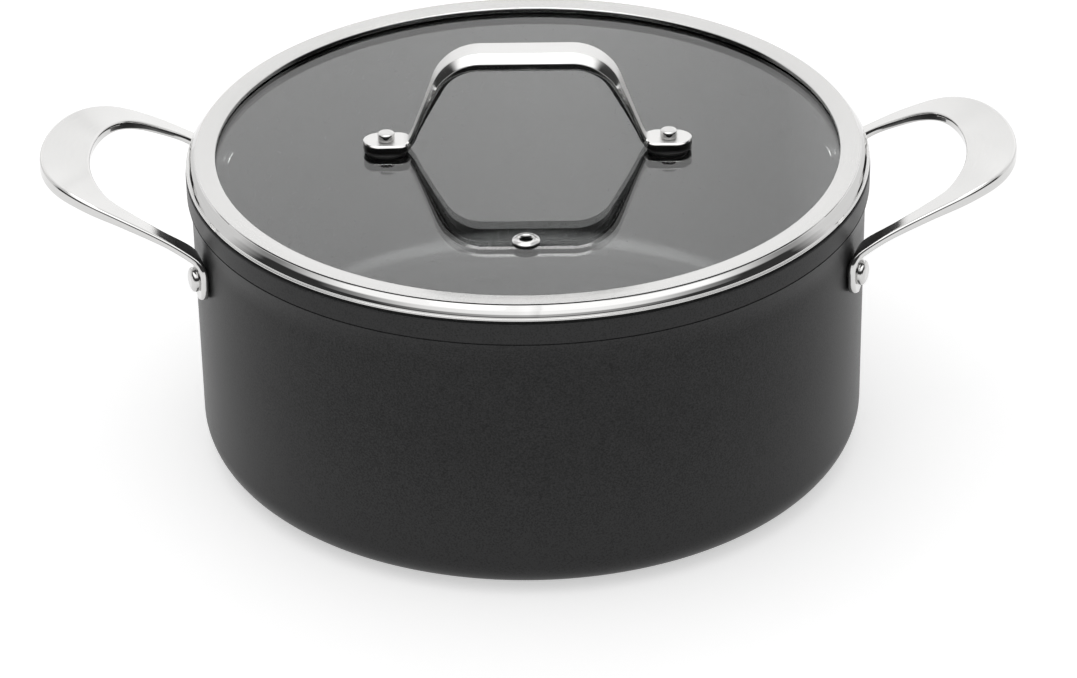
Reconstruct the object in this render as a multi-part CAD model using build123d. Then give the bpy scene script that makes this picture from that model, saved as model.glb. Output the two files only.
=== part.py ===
from build123d import *
import math
import os

# Two-handled casserole pot with a flat glass lid, a rolled steel lid rim and a riveted arch handle.
# Millimetres, +Z up, origin on the table under the middle of the pot, +X through the side handles.

# Pot shell
pot_height = 113.0
wall_radius = 124.5
wall_thickness = 3.2
floor_thickness = 4.5
corner_radius = 16.0
inner_corner_radius = 13.0
collar_height = 9.2
collar_overhang = 1.5
collar_groove_width = 0.7
collar_groove_depth = 0.4
taper_height = 14.0
lip_round = 1.2
mouth_round = 0.8

# Steel plate let into the underside
plate_inset = 13.5
plate_thickness = 2.5
plate_proud = 0.4
plate_edge_chamfer = 0.5
plate_clearance = 0.1

# Side handles: reaches run out from the pot wall, drops down from the grip, insets towards its middle
lug_angle = 19.8
lug_width = 12.4
lug_drop = 40.2
lug_thickness = 3.0
lug_corner = 6.0
lug_clearance = 0.1
grip_rise = 4.4
grip_standoff = 55.1
grip_width = 18.5
grip_thickness = 4.2
arm_depth = 2.8
strip_root_reach = -12.0
strip_root_drop = 28.2
strip_root_slope = 38.0
arm_low_reach = 5.5
arm_low_drop = 15.9
arm_mid_reach = 20.5
arm_mid_drop = 7.9
shoulder_reach = 35.5
shoulder_drop = 2.2
corner_reach = 46.8
arm_outer_inset = -2.8
arm_inner_inset = 4.2
shoulder_inset = 3.2
corner_inset = 13.2
eye_shoulder_reach = 25.5
eye_shoulder_inset = 10.4
handle_edge_round = 1.0

# Side handle rivets
rivet_shank = 5.0
rivet_hole_clearance = 0.1
rivet_head = 9.2
rivet_head_height = 3.0
rivet_head_round = 0.9
rivet_inner_head = 11.0
rivet_inner_height = 1.6
rivet_inner_chamfer = 0.5
rivet_above_lug_foot = 8.2

# Lid glass
glass_thickness = 4.0
glass_edge_round = 0.8

# Lid rim, a rolled steel ring with a skirt that drops into the mouth
skirt_clearance = 0.6
skirt_wall = 0.9
skirt_drop = 6.5
rim_overhang = 5.1
rim_height = 5.4
rim_roll = 2.0
rim_lip_thickness = 1.9
rim_lip_chamfer = 0.55
rim_band_width = 10.9
rim_groove_width = 0.8
rim_groove_depth = 0.3
rim_groove_inset = 3.0
rim_bead_height = 0.8
rim_bead_width = 0.5
channel_wall = 0.7
shelf_width = 2.4
shelf_thickness = 0.7

# Silicone channel round the glass edge
liner_thickness = 0.4
liner_leg = 2.6
liner_clearance = 0.05

# Lid handle
lid_handle_span = 121.0
lid_rivet_inset = 8.5
lid_foot_width = 12.4
lid_foot_thickness = 3.2
lid_foot_chamfer = 0.5
lid_foot_low_chamfer = 0.3
lid_foot_length = 16.5
lid_arch_height = 40.3
lid_knee_inset = 17.1
lid_leg_angle = 65.7
lid_grip_width = 14.4
lid_grip_thickness = 6.1
lid_grip_chamfer = 3.8
lid_grip_low_chamfer = 0.8
lid_leg_width = 12.4
lid_leg_thickness = 4.6
lid_leg_chamfer = 1.7
lid_leg_low_chamfer = 1.9
lid_neck_width = 6.4
lid_neck_thickness = 2.2
lid_neck_chamfer = 0.7
lid_neck_low_chamfer = 0.7
lid_foot_bend = 4.0
lid_shoulder_bend = 17.0

# Lid handle fixings
foot_gasket_radius = 8.3
foot_gasket_thickness = 0.7
lid_rivet_shank = 4.2
lid_rivet_head = 6.3
lid_rivet_head_height = 2.9
lid_rivet_head_round = 0.6
lid_rivet_hole_clearance = 0.1
bush_wall = 1.8
bush_clearance = 0.1
under_gasket_radius = 7.0
under_gasket_thickness = 0.8
under_washer_radius = 6.0
under_washer_thickness = 0.8
lid_rivet_tail = 7.6
lid_rivet_tail_height = 1.6
lid_rivet_tail_chamfer = 0.5

# Steam vent
vent_inset = 42.5
vent_bore = 4.4
vent_tube_wall = 0.9
vent_flange = 10.0
vent_flange_height = 1.1
vent_gasket_thickness = 0.3
vent_hole_clearance = 0.15
vent_washer_thickness = 0.8
vent_curl = 0.9

# Heights and radii that follow from the sizes above
wall_inner = wall_radius - wall_thickness
collar_radius = wall_radius + collar_overhang
collar_foot = pot_height - collar_height
floor_top = plate_thickness + floor_thickness
plate_radius = wall_radius - corner_radius - plate_inset
grip_height = pot_height + grip_rise
grip_reach = wall_radius + grip_standoff
lug_foot = grip_height - lug_drop
lug_inner = wall_radius + lug_clearance
lug_outer = lug_inner + lug_thickness
rivet_height = lug_foot + rivet_above_lug_foot
skirt_outer = wall_inner - skirt_clearance
skirt_inner = skirt_outer - skirt_wall
rim_outer = skirt_outer + rim_overhang
rim_inner = rim_outer - rim_band_width
rim_top = pot_height + rim_height
rim_lip_under = rim_top - rim_lip_thickness - rim_bead_height
rim_channel = skirt_inner - channel_wall
glass_radius = rim_channel - liner_thickness - 2 * liner_clearance
glass_top = rim_lip_under - liner_thickness
glass_under = glass_top - glass_thickness
shelf_top = glass_under - liner_thickness
foot_under = glass_top + foot_gasket_thickness
foot_top = foot_under + lid_foot_thickness
lid_rivet_x = lid_handle_span / 2 - lid_rivet_inset
lid_rivet_hole = lid_rivet_shank / 2 + lid_rivet_hole_clearance
bush_outer = lid_rivet_hole + bush_wall
under_gasket_foot = glass_under - under_gasket_thickness
under_washer_foot = under_gasket_foot - under_washer_thickness
vent_from_centre = rim_inner - vent_inset
vent_tube = vent_bore / 2 + vent_tube_wall
vent_washer_foot = glass_under - vent_washer_thickness
vent_flange_foot = glass_top + vent_gasket_thickness
rivet_angles = {
    "right_rear": lug_angle,
    "left_rear": 180 - lug_angle,
    "left_front": 180 + lug_angle,
    "right_front": -lug_angle,
}

os.makedirs("parts", exist_ok=True)


def save(shape, name):
    """Writes one piece to its own STEP file."""
    export_step(shape, f"parts/{name}.step")


def turned(*edges):
    """A solid of revolution about Z from profile edges drawn as (radius, height)."""
    return revolve(Plane.XZ * make_face(edges), Axis.Z)


def ring(inner_radius, outer_radius, foot, top):
    """A plain ring standing on Z between two heights."""
    height = top - foot
    body = Cylinder(outer_radius, height, align=(Align.CENTER, Align.CENTER, Align.MIN))
    bore = Cylinder(inner_radius, height, align=(Align.CENTER, Align.CENTER, Align.MIN))
    return Pos(0, 0, foot) * (body - bore)


def disc(radius, foot, top):
    """A plain disc on Z between two heights."""
    return Pos(0, 0, foot) * Cylinder(radius, top - foot, align=(Align.CENTER, Align.CENTER, Align.MIN))


def radial(angle, height):
    """A place on the Z axis whose own Z points outwards at an angle round the pot."""
    return Pos(0, 0, height) * Rot(0, 0, angle) * Rot(0, 90, 0)


def button_rivet(head, head_height, head_round, shank, length, tail, tail_height, tail_chamfer):
    """A rivet along Z: rounded head on top of Z = 0, shank below it and a flat tail head."""
    top = disc(head / 2, 0, head_height)
    top = fillet(top.edges().group_by(Axis.Z)[-1], head_round)
    foot = disc(tail / 2, -length - tail_height, -length)
    foot = chamfer(foot.edges().group_by(Axis.Z)[0], tail_chamfer)
    return top + disc(shank / 2, -length, 0) + foot


def outer_wall(gap):
    """The pot's outside line from the round corner up to the foot of its collar, moved out by a gap."""
    corner = (wall_radius + gap, plate_proud + corner_radius)
    flare = (wall_radius + gap, collar_foot - taper_height)
    step = (collar_radius + gap, collar_foot)
    return [Line(corner, flare), TangentArc(flare, step, tangent=(0, 1))]


def pot_body():
    """Turned shell with a round corner, a grooved collar, a rolled lip and a pocket for the plate."""
    pocket = plate_radius + plate_clearance
    corner_start = (wall_radius - corner_radius, plate_proud)
    corner_end = (wall_radius, plate_proud + corner_radius)
    groove_foot = (collar_radius, collar_foot)
    groove = (collar_radius - collar_groove_depth, collar_foot + collar_groove_width / 2)
    groove_top = (collar_radius, collar_foot + collar_groove_width)
    lip_start = (collar_radius, pot_height - lip_round)
    lip_end = (collar_radius - lip_round, pot_height)
    mouth_start = (wall_inner + mouth_round, pot_height)
    mouth_end = (wall_inner, pot_height - mouth_round)
    well_start = (wall_inner, floor_top + inner_corner_radius)
    well_end = (wall_inner - inner_corner_radius, floor_top)
    shell = turned(
        Polyline((0, plate_thickness), (pocket, plate_thickness), (pocket, plate_proud), corner_start),
        TangentArc(corner_start, corner_end, tangent=(1, 0)),
        *outer_wall(0),
        Polyline(groove_foot, groove, groove_top, lip_start),
        TangentArc(lip_start, lip_end, tangent=(0, 1)),
        Line(lip_end, mouth_start),
        TangentArc(mouth_start, mouth_end, tangent=(-1, 0)),
        Line(mouth_end, well_start),
        TangentArc(well_start, well_end, tangent=(0, -1)),
        Polyline(well_end, (0, floor_top), (0, plate_thickness)),
    )
    for angle in rivet_angles.values():
        shell -= rivet_hole(angle)
    return shell


def rivet_hole(angle):
    """The clearance hole of one side-handle rivet, through the wall and the lug."""
    radius = rivet_shank / 2 + rivet_hole_clearance
    return radial(angle, rivet_height) * disc(radius, wall_inner - wall_thickness, lug_outer + lug_thickness)


def base_plate():
    """Steel plate that the pot stands on, let into a pocket in the underside."""
    plate = disc(plate_radius, 0, plate_thickness)
    return chamfer(plate.edges().group_by(Axis.Z)[0], plate_edge_chamfer)


def wall_space():
    """The room that the pot takes up beside a lug, with the lug's clearance round it."""
    corner = (wall_radius + lug_clearance, plate_proud + corner_radius)
    step = (collar_radius + lug_clearance, collar_foot)
    inside = Polyline(step, (step[0], grip_height), (0, grip_height), (0, corner[1]), corner)
    return turned(*outer_wall(lug_clearance), inside)


def strip_line(arm_sink, grip_sink):
    """A line along the bent handle strip, sunk below its top face: up from the wall and level at the grip."""
    reaches = [strip_root_reach, arm_low_reach, arm_mid_reach, shoulder_reach, corner_reach]
    drops = [strip_root_drop, arm_low_drop, arm_mid_drop, shoulder_drop, 0]
    sinks = [arm_sink, arm_sink, arm_sink, (arm_sink + grip_sink) / 2, grip_sink]
    points = [(wall_radius + x, grip_height - d - s) for x, d, s in zip(reaches, drops, sinks)]
    slope = math.radians(strip_root_slope)
    rise = Spline(points, tangents=[(math.cos(slope), math.sin(slope)), (1, 0)])
    end = (grip_reach + grip_width, points[-1][1])
    return [rise, Line(points[-1], end)], points[0], end


def strip_solid(arm_sink, grip_sink):
    """The room between the strip's top face and a lower line, right across the handle."""
    top, top_root, top_end = strip_line(0, 0)
    low, low_root, low_end = strip_line(arm_sink, grip_sink)
    sides = [Line(top_root, low_root), Line(top_end, low_end)]
    return extrude(Plane.XZ * make_face(top + low + sides), wall_radius, both=True)


def loop_outline(root, points, tip):
    """A closed plan outline: a smooth bow from one root round the tip to the other, closed inside the pot."""
    near = [root] + points
    far = [(x, -y) for x, y in reversed(near)]
    bow = Spline(near + [(tip, 0)] + far)
    back = Polyline(far[-1], (0, far[-1][1]), (0, root[1]), root)
    return make_face([bow, back])


def side_handle():
    """One forged loop on the +X side: a flat grip, two sloping arms and two riveted lugs."""
    turn = math.radians(lug_angle)
    half_lug = lug_width / 2
    lug_x = lug_inner * math.cos(turn)
    lug_y = lug_inner * math.sin(turn)
    outer_root = (lug_x - half_lug * math.sin(turn), lug_y + half_lug * math.cos(turn))
    inner_root = (lug_x + half_lug * math.sin(turn), lug_y - half_lug * math.cos(turn))
    low_x = wall_radius + arm_low_reach
    shoulder = (wall_radius + shoulder_reach, lug_y - shoulder_inset)
    corner = (wall_radius + corner_reach, lug_y - corner_inset)
    eye_shoulder = (wall_radius + eye_shoulder_reach, lug_y - eye_shoulder_inset)
    outer = loop_outline(outer_root, [(low_x, lug_y - arm_outer_inset), shoulder, corner], grip_reach)
    eye = loop_outline(inner_root, [(low_x, lug_y - arm_inner_inset), eye_shoulder], grip_reach - grip_width)
    loop = extrude(outer - eye, 2 * grip_height) & strip_solid(arm_depth, grip_thickness)
    loop = fillet(loop.edges().sort_by(SortBy.LENGTH)[-4:], handle_edge_round)
    shell = ring(lug_inner, lug_outer, lug_foot, grip_height) & strip_solid(lug_drop, lug_drop)
    tongue = Rectangle(2 * lug_drop, lug_width)
    tongue = extrude(fillet(tongue.vertices(), lug_corner), grip_reach)
    handle = loop
    for angle in (lug_angle, -lug_angle):
        handle += shell & (radial(angle, lug_foot + lug_drop) * tongue)
    handle -= wall_space()
    for angle in (lug_angle, -lug_angle):
        handle -= rivet_hole(angle)
    return handle


def side_rivet(angle):
    """One side-handle rivet with its button head on the lug and a flat head inside the pot."""
    hollow = wall_inner - math.sqrt(wall_inner**2 - (rivet_inner_head / 2) ** 2)
    length = lug_outer - wall_inner + hollow
    blank = button_rivet(
        rivet_head,
        rivet_head_height,
        rivet_head_round,
        rivet_shank,
        length,
        rivet_inner_head,
        rivet_inner_height,
        rivet_inner_chamfer,
    )
    return radial(angle, rivet_height) * Pos(0, 0, lug_outer) * blank


def lid_rim():
    """Rolled steel ring: satin band over the glass, rounded shoulder, flange on the pot and skirt inside."""
    band = rim_top - rim_bead_height
    groove = rim_inner + rim_groove_inset
    shoulder = (rim_outer - rim_bead_width - 2 * rim_roll, rim_top)
    side_top = (rim_outer - rim_bead_width, rim_top - rim_roll)
    flange_top = pot_height + 2 * rim_bead_height
    shelf_foot = shelf_top - shelf_thickness
    return turned(
        Polyline(
            (rim_channel, rim_lip_under),
            (rim_inner, rim_lip_under),
            (rim_inner, band - rim_lip_chamfer),
            (rim_inner + rim_lip_chamfer, band),
            (groove, band + rim_groove_depth),
            (groove + rim_groove_width / 2, band),
            (groove + rim_groove_width, band + rim_groove_depth),
            shoulder,
        ),
        Spline([shoulder, side_top], tangents=[(1, 0), (0, -1)]),
        Polyline(
            side_top,
            (rim_outer - rim_bead_width, flange_top),
            (rim_outer, flange_top - rim_bead_width),
            (rim_outer, pot_height + rim_bead_height),
            (rim_outer - lip_round, pot_height),
            (skirt_outer, pot_height),
            (skirt_outer, pot_height - skirt_drop),
            (skirt_inner, pot_height - skirt_drop),
            (skirt_inner, shelf_foot),
            (rim_channel - shelf_width, shelf_foot),
            (rim_channel - shelf_width, shelf_top),
            (rim_channel, shelf_top),
            (rim_channel, rim_lip_under),
        ),
    )


def rim_liner():
    """Thin silicone channel that the glass edge sits in."""
    outer = glass_radius + liner_thickness + liner_clearance
    body = ring(outer - liner_leg, outer, shelf_top, rim_lip_under)
    return body - disc(glass_radius + liner_clearance, glass_under, glass_top)


def lid_glass():
    """Flat toughened glass disc with a hole for each handle rivet and one for the vent."""
    glass = disc(glass_radius, glass_under, glass_top)
    glass = fillet(glass.edges(), glass_edge_round)
    for side in (-1, 1):
        glass -= Pos(side * lid_rivet_x, 0, 0) * disc(bush_outer + bush_clearance, glass_under, glass_top)
    vent_hole = disc(vent_tube + vent_hole_clearance, glass_under, glass_top)
    return glass - Pos(0, -vent_from_centre, 0) * vent_hole


def lid_handle_section(width, thickness, top_cut, low_cut):
    """Eight-sided bar section: broad flat top, bevelled upper edges and smaller lower ones."""
    half = width / 2
    rise = thickness / 2
    corners = [
        (half - top_cut, rise),
        (half, rise - top_cut),
        (half, low_cut - rise),
        (half - low_cut, -rise),
    ]
    return make_face(Polyline(corners + [(-x, y) for x, y in reversed(corners)], close=True))


def lid_handle():
    """Forged arch: flat feet, slim necks, legs that swell upwards and a bevelled grip."""
    foot_mid = foot_under + lid_foot_thickness / 2
    rise = glass_top + lid_arch_height - lid_grip_thickness / 2 - foot_mid
    turn = math.radians(lid_leg_angle)
    toe = lid_handle_span / 2 - lid_foot_length + lid_foot_thickness
    knee = lid_handle_span / 2 - lid_knee_inset
    shoulder = knee - rise / math.tan(turn)
    corners = [(-toe, foot_mid), (-knee, foot_mid), (-shoulder, foot_mid + rise)]
    corners += [(-x, z) for x, z in reversed(corners)]
    bends = [lid_foot_bend, lid_shoulder_bend, lid_shoulder_bend, lid_foot_bend]
    path = Plane.XZ * FilletPolyline(*corners, radius=bends)
    foot_size = (lid_neck_width, lid_foot_thickness, lid_foot_chamfer, lid_foot_low_chamfer)
    neck_size = (lid_neck_width, lid_neck_thickness, lid_neck_chamfer, lid_neck_low_chamfer)
    leg_size = (lid_leg_width, lid_leg_thickness, lid_leg_chamfer, lid_leg_low_chamfer)
    grip_size = (lid_grip_width, lid_grip_thickness, lid_grip_chamfer, lid_grip_low_chamfer)
    foot_run = toe - knee - lid_foot_bend * math.tan(turn / 2)
    leg_run = rise / math.sin(turn) - (lid_foot_bend + lid_shoulder_bend) * math.tan(turn / 2)
    leg_start = foot_run + lid_foot_bend * turn
    leg_end = leg_start + leg_run
    shoulder_end = leg_end + lid_shoulder_bend * turn
    stations = [(0, foot_size), (foot_run, foot_size), (leg_start, neck_size), (leg_end, leg_size)]
    for share in (1 / 3, 2 / 3):
        run = leg_end + share * (shoulder_end - leg_end)
        left = (1 - share) ** 2
        stations.append((run, [left * leg + (1 - left) * grip for leg, grip in zip(leg_size, grip_size)]))
    stations += [(shoulder_end, grip_size), ((shoulder_end + path.length / 2) / 2, grip_size)]
    stations += [(path.length / 2, grip_size)]
    stations += [(path.length - run, size) for run, size in reversed(stations[:-1])]
    sections = []
    for run, size in stations:
        share = run / path.length
        place = Plane(origin=path @ share, x_dir=(0, 1, 0), z_dir=path % share)
        sections.append(place * lid_handle_section(*size))
    bar = loft(sections)
    bar -= Pos(0, 0, foot_under) * Box(
        lid_handle_span,
        2 * lid_grip_width,
        lid_foot_thickness,
        align=(Align.CENTER, Align.CENTER, Align.MAX),
    )
    for side in (-1, 1):
        bar += Pos(side * (lid_handle_span - lid_foot_length) / 2, 0, 0) * foot_blank()
        bar -= Pos(side * lid_rivet_x, 0, 0) * disc(lid_rivet_hole, foot_under, foot_top)
    return bar


def foot_blank():
    """One round-ended foot of the lid handle, as a plate with its upper edge broken."""
    blank = extrude(SlotOverall(lid_foot_length, lid_foot_width), lid_foot_thickness)
    return Pos(0, 0, foot_under) * chamfer(blank.edges().group_by(Axis.Z)[-1], lid_foot_chamfer)


def lid_rivet(side):
    """Rivet through the foot, pad, glass and washers, peened over below."""
    length = foot_top - under_washer_foot
    blank = button_rivet(
        lid_rivet_head,
        lid_rivet_head_height,
        lid_rivet_head_round,
        lid_rivet_shank,
        length,
        lid_rivet_tail,
        lid_rivet_tail_height,
        lid_rivet_tail_chamfer,
    )
    return Pos(side * lid_rivet_x, 0, foot_top) * blank


def vent_eyelet():
    """Flanged steel tube through the glass, rolled over its back washer."""
    flange_edge = (vent_flange / 2, vent_flange_foot)
    mouth = (vent_bore / 2 + vent_flange_height / 2, vent_flange_foot + vent_flange_height)
    bore = vent_bore / 2
    return Pos(0, -vent_from_centre, 0) * turned(
        Polyline(flange_edge, (vent_tube, vent_flange_foot), (vent_tube, vent_washer_foot)),
        Polyline(
            (vent_tube, vent_washer_foot),
            (vent_tube + vent_curl, vent_washer_foot),
            (vent_tube + vent_curl, vent_washer_foot - vent_curl / 2),
            (bore + vent_curl / 2, vent_washer_foot - vent_curl),
            (bore, vent_washer_foot - vent_curl),
            (bore, vent_flange_foot + vent_flange_height / 2),
            mouth,
        ),
        TangentArc(mouth, flange_edge, tangent=(1, 0)),
    )


def vent_ring(foot, top):
    """A plain ring round the vent tube, as wide as its flange."""
    body = ring(vent_tube + vent_hole_clearance, vent_flange / 2, foot, top)
    return Pos(0, -vent_from_centre, 0) * body


def rivet_ring(side, radius, foot, top):
    """A plain ring round the shank of one lid-handle rivet."""
    return Pos(side * lid_rivet_x, 0, 0) * ring(lid_rivet_hole, radius, foot, top)


save(pot_body(), "pot_body")
save(base_plate(), "base_plate")
right_handle = side_handle()
save(right_handle, "right_side_handle")
save(Rot(0, 0, 180) * right_handle, "left_side_handle")
for corner, corner_angle in rivet_angles.items():
    save(side_rivet(corner_angle), f"{corner}_handle_rivet")

save(lid_glass(), "lid_glass")
save(lid_rim(), "lid_rim")
save(rim_liner(), "rim_liner")
save(lid_handle(), "lid_handle")
for name, side in (("left", -1), ("right", 1)):
    save(rivet_ring(side, foot_gasket_radius, glass_top, foot_under), f"{name}_foot_gasket")
    save(lid_rivet(side), f"{name}_lid_rivet")
    save(rivet_ring(side, bush_outer, glass_under, glass_top), f"{name}_glass_bush")
    save(rivet_ring(side, under_gasket_radius, under_gasket_foot, glass_under), f"{name}_under_gasket")
    save(rivet_ring(side, under_washer_radius, under_washer_foot, under_gasket_foot), f"{name}_under_washer")

save(vent_eyelet(), "vent_eyelet")
save(vent_ring(glass_top, vent_flange_foot), "vent_gasket")
save(vent_ring(vent_washer_foot, glass_under), "vent_washer")
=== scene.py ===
import math

import bpy
import numpy as np
from mathutils import Matrix, Vector


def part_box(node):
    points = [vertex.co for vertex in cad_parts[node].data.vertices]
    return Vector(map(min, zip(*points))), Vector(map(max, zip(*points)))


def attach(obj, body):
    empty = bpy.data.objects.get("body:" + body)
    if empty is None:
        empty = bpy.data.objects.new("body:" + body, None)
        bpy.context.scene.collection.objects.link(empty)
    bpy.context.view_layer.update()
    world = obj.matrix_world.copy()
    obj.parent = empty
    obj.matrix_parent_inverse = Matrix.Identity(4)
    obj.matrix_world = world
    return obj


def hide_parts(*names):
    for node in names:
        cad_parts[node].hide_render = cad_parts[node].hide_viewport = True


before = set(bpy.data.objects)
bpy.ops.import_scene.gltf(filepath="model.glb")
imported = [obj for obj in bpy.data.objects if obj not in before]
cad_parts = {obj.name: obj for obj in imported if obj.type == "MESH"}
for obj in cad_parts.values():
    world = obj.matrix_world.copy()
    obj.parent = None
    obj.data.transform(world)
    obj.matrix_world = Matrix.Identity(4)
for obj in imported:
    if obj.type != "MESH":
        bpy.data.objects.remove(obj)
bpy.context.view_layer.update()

MM = 0.001


def node_box(node):
    """The lowest and the highest corner of a CAD node, in millimetres."""
    low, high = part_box(node)
    return np.array(low) / MM, np.array(high) / MM


# Shapes, in millimetres

# Corner radii of a sharp edge, of an edge that is just broken and of a round one
CRISP = 0.1
EASED = 0.2
ROUND = 0.4
# A corner's arc, and the arc with its support point, take up at most these shares of a side
ARC_SHARE = 0.46
SUPPORT_SHARE = 0.49
TINY = 1e-12


def unit(vectors):
    """Each row divided by its own length."""
    return vectors / np.linalg.norm(vectors, axis=1, keepdims=True)


def run_length(points):
    """The length of a polyline from its first point to each of its points."""
    return np.concatenate([[0], np.cumsum(np.linalg.norm(np.diff(points, axis=0), axis=1))])


def fade_in(value, start, end):
    """0 up to the start, 1 from the end on, and straight in between."""
    return np.clip((value - start) / (end - start), 0, 1)


def quarter_round(share):
    """Height of a quarter circle that climbs from 0 to 1 as the share goes from 0 to 1."""
    return np.sqrt(1 - (1 - share) ** 2)


def soften(corners, radius, steps, support, closed=True):
    """Rounds the corners of outlines: each corner becomes a circular arc tangent to its two sides, drawn as
    a rational quadratic curve, with a support point beyond each end so that the flats stay flat. An open
    line keeps its two ends. Corners: (outline, corner, 2)."""
    corners = np.asarray(corners, float)
    back = np.roll(corners, 1, axis=1) - corners
    on = np.roll(corners, -1, axis=1) - corners
    back_side = np.linalg.norm(back, axis=2, keepdims=True) + TINY
    on_side = np.linalg.norm(on, axis=2, keepdims=True) + TINY
    back = back / back_side
    on = on / on_side
    inside = np.arccos(np.clip((back * on).sum(2, keepdims=True), -1, 1))
    turn = (np.pi - inside) / 2
    radius = np.broadcast_to(np.asarray(radius, float), corners.shape[:2])[:, :, None]
    reach = np.minimum(radius * np.tan(turn), ARC_SHARE * np.minimum(back_side, on_side))
    weight = np.cos(turn)[:, :, None, :]
    t = np.linspace(0, 1, steps)[None, None, :, None]
    first = (corners + back * reach)[:, :, None, :]
    last = (corners + on * reach)[:, :, None, :]
    pull = 2 * weight * t * (1 - t)
    arc = first * (1 - t) ** 2 + pull * corners[:, :, None, :] + last * t**2
    arc = arc / ((1 - t) ** 2 + pull + t**2)
    lead = (corners + back * np.minimum(reach + support, SUPPORT_SHARE * back_side))[:, :, None, :]
    tail = (corners + on * np.minimum(reach + support, SUPPORT_SHARE * on_side))[:, :, None, :]
    line = np.concatenate([lead, arc, tail], axis=2)
    count = len(corners)
    if closed:
        return line.reshape(count, -1, 2)
    return np.concatenate([corners[:, :1], line[:, 1:-1].reshape(count, -1, 2), corners[:, -1:]], axis=1)


def profile(corners, closed=True, steps=9, support=0.3):
    """One softened outline from rows of (x, y, corner radius)."""
    rows = np.asarray(corners, float)[None]
    return soften(rows[:, :, :2], rows[:, :, 2], steps, support, closed)[0]


def rivet_line(tail, tail_levels, tail_round, shank, head, head_levels, head_rounds):
    """Half the outline of a rivet, up from its tail: the tail's radii and levels (end, seat), the shank's
    radius, the head's radii and levels (seat, side, edge, crown), and the rounding of its last three."""
    seat_radius, *head_radii = head
    seat_level, *side_levels = head_levels
    return profile([
        (0, tail_levels[0], 0),
        (tail[0], tail_levels[0], tail_round),
        (tail[1], tail_levels[1], EASED),
        (shank, tail_levels[1], CRISP),
        (shank, seat_level, CRISP),
        (seat_radius, seat_level, CRISP),
        *zip(head_radii, side_levels, head_rounds),
        (0, side_levels[-1], 0),
    ], closed=False)


def smooth_curve(knots, count):
    """A natural cubic spline through the knots, with chord length as its parameter, at even steps."""
    knots = np.asarray(knots, float)
    at = run_length(knots)
    gap = np.diff(at)
    inner = np.arange(1, len(knots) - 1)
    system = np.eye(len(knots))
    system[inner, inner - 1] = gap[:-1]
    system[inner, inner] = 2 * (gap[:-1] + gap[1:])
    system[inner, inner + 1] = gap[1:]
    known = np.zeros_like(knots)
    known[1:-1] = 6 * np.diff(np.diff(knots, axis=0) / gap[:, None], axis=0)
    bend = np.linalg.solve(system, known)
    sample = np.linspace(0, at[-1], count)
    k = np.clip(np.searchsorted(at, sample) - 1, 0, len(knots) - 2)
    past = (sample - at[k])[:, None]
    ahead = (at[k + 1] - sample)[:, None]
    wide = gap[k][:, None]
    curved = (bend[k] * ahead**3 + bend[k + 1] * past**3) / (6 * wide)
    from_knot = (knots[k] / wide - bend[k] * wide / 6) * ahead
    to_knot = (knots[k + 1] / wide - bend[k + 1] * wide / 6) * past
    return curved + from_knot + to_knot


def make_piece(name, points, faces, marks=None):
    """A mesh object at the origin from points in millimetres, smooth shaded, with marks on its vertices."""
    mesh = bpy.data.meshes.new(name)
    mesh.from_pydata((np.asarray(points) * MM).tolist(), [], faces)
    mesh.polygons.foreach_set("use_smooth", np.ones(len(mesh.polygons), bool))
    for mark, values in (marks or {}).items():
        values = np.asarray(values, np.float32)
        kind, field = ("FLOAT", "value") if values.ndim == 1 else ("FLOAT_VECTOR", "vector")
        mesh.attributes.new(mark, kind, "POINT").data.foreach_set(field, values.ravel())
    mesh.update()
    piece = bpy.data.objects.new(name, mesh)
    bpy.context.scene.collection.objects.link(piece)
    return piece


def lathe(line, sides, closed):
    """Points and faces of a line (radius, height) turned about Z. A closed line joins up with its start."""
    rows = len(line)
    angle = np.linspace(0, 2 * np.pi, sides, endpoint=False)
    r, z = line.T
    points = np.stack([np.outer(np.cos(angle), r), np.outer(np.sin(angle), r), np.tile(z, (sides, 1))], 2)
    i = np.arange(sides)[:, None]
    j = np.arange(rows if closed else rows - 1)[None, :]
    n = (i + 1) % sides
    m = (j + 1) % rows
    quads = np.stack([i * rows + j, n * rows + j, n * rows + m, i * rows + m], 2)
    return points.reshape(-1, 3), quads.reshape(-1, 4).tolist()


def turned_solid(name, line, sides, place=Matrix.Identity(4)):
    """A solid of revolution: a line (radius, height) that starts and ends on the axis, turned about Z and
    then placed by a matrix. Each end of the line is one point, joined to the next row by triangles."""
    points, faces = lathe(line[1:-1], sides, closed=False)
    rows = len(line) - 2
    start = np.full(sides, len(points))
    end = start + 1
    points = np.concatenate([points, [[0, 0, line[0, 1]], [0, 0, line[-1, 1]]]])
    i = np.arange(sides)
    n = (i + 1) % sides
    faces += np.stack([start, n * rows, i * rows], 1).tolist()
    faces += np.stack([i * rows + rows - 1, n * rows + rows - 1, end], 1).tolist()
    place = np.array(place)
    return make_piece(name, points @ place[:3, :3].T + place[:3, 3], faces)


def turned_ring(name, line, sides, middle=(0, 0, 0), marks=None):
    """A ring: a closed line (radius, height) turned about an upright axis. Marks: values along the line."""
    points, faces = lathe(line, sides, closed=True)
    values = {mark: np.tile(value, sides) for mark, value in (marks or {}).items()}
    return make_piece(name, points + middle, faces, values)


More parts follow.
